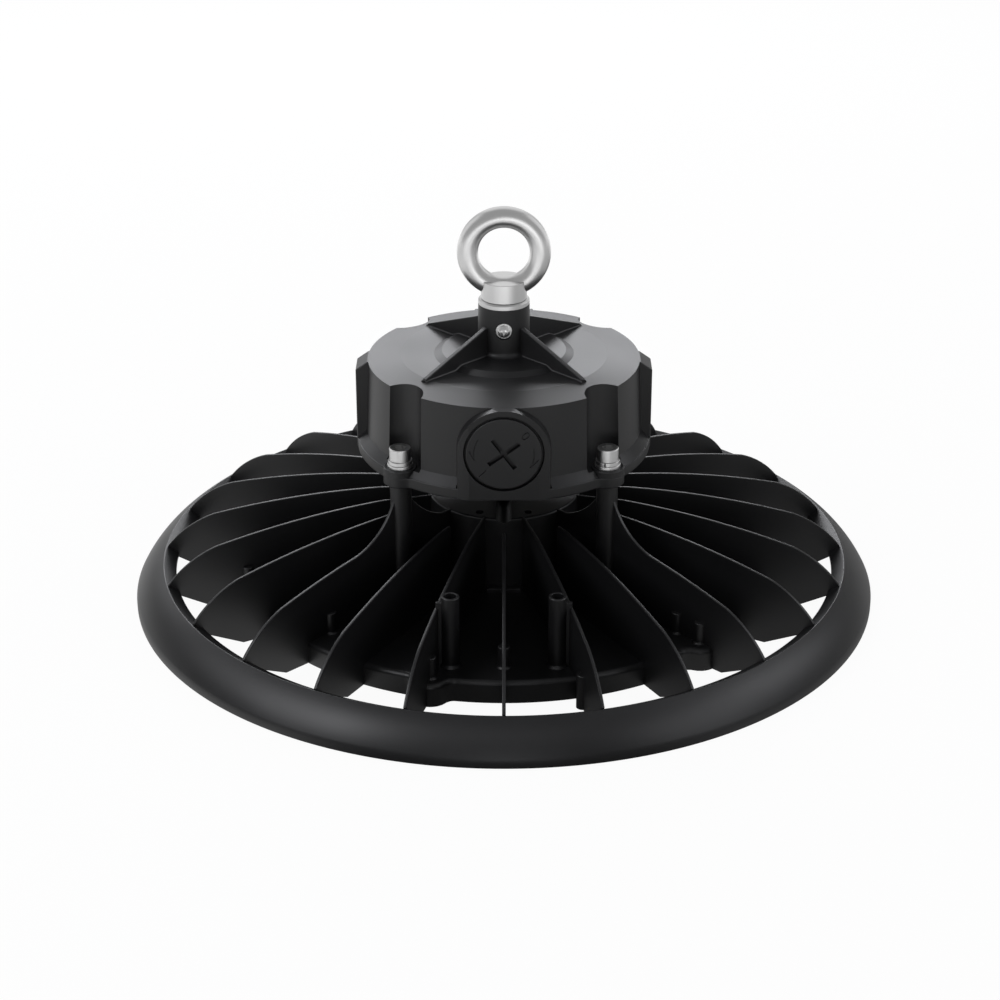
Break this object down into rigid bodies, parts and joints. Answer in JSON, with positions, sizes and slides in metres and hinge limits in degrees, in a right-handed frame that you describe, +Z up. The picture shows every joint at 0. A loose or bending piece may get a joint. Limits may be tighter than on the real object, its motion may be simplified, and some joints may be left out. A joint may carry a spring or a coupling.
{
  "type": "high bay light",
  "caption": "Round black high bay light: finned heatsink in a flared ring, driver box on four posts with a turning access cap, lifting eye on top, LED board under a lens.",
  "frame": {"origin": "centre of the ring's rim, on the surface that the light stands on", "axes": "+Z up through the lifting eye, -Y towards the access cap, +X to the right of the cap"},
  "size_m": [0.36, 0.36, 0.1922],
  "materials": {
    "black_powder_coat": "satin black powder coat with a fine grain, on die-cast aluminium",
    "black_nylon_cap": "satin black",
    "black_nylon": "satin",
    "black_rubber": "matt",
    "silicone_seal": "matt",
    "stainless_steel": "satin, forged or turned",
    "zinc_steel": "zinc plated",
    "bare_aluminium": "rolled sheet",
    "board_green": "solder mask",
    "brass_spacers": "turned",
    "ferrite": "pressed ferrite",
    "winding_tape": "tape",
    "capacitor_sleeve": "sleeve",
    "enamelled_copper": "enamelled wire",
    "terminal_grey": "moulded",
    "thermal_film": "soft film",
    "board_white": "white mask",
    "led_phosphor": "phosphor",
    "lens_polycarbonate": "clear, lightly frosted"
  },
  "bodies": {
    "fixture": {"board_screws": "zinc_steel", "board_spacers": "brass_spacers", "breather_plug": "black_nylon", "bulk_capacitors": "capacitor_sleeve", "choke": "enamelled_copper", "driver_board": "board_green", "driver_housing": "black_powder_coat", "eye_bolt": "stainless_steel", "eye_washer": "stainless_steel", "flat_washers": "stainless_steel", "floor_gasket": "silicone_seal", "floor_grommet": "black_rubber", "floor_plate": "bare_aluminium", "floor_screws": "zinc_steel", "gland_body": "black_nylon", "gland_locknut": "black_nylon", "gland_nut": "black_nylon", "gland_seal": "black_rubber", "heatsink": "black_powder_coat", "hub_grommet": "black_rubber", "lead_sleeve": "black_rubber", "led_board": "board_white", "led_board_screws": "zinc_steel", "led_chips": "led_phosphor", "lens_gasket": "silicone_seal", "lens_plate": "lens_polycarbonate", "lens_screws": "stainless_steel", "lock_screw": "stainless_steel", "lock_washer": "stainless_steel", "mounting_screws": "stainless_steel", "spring_washers": "stainless_steel", "terminal_block": "terminal_grey", "thermal_pad": "thermal_film", "transformer_core": "ferrite", "transformer_winding": "winding_tape"},
    "cap": {"access_cap": "black_nylon_cap", "cap_o_ring": "black_rubber"}
  },
  "joints": [
    {"name": "cap_turn", "type": "hinge", "parent": "fixture", "child": "cap", "pos_m": [0, -0.0684, 0.0973], "axis": [0, -1, 0], "range_deg": [0, 90]}
  ]
}
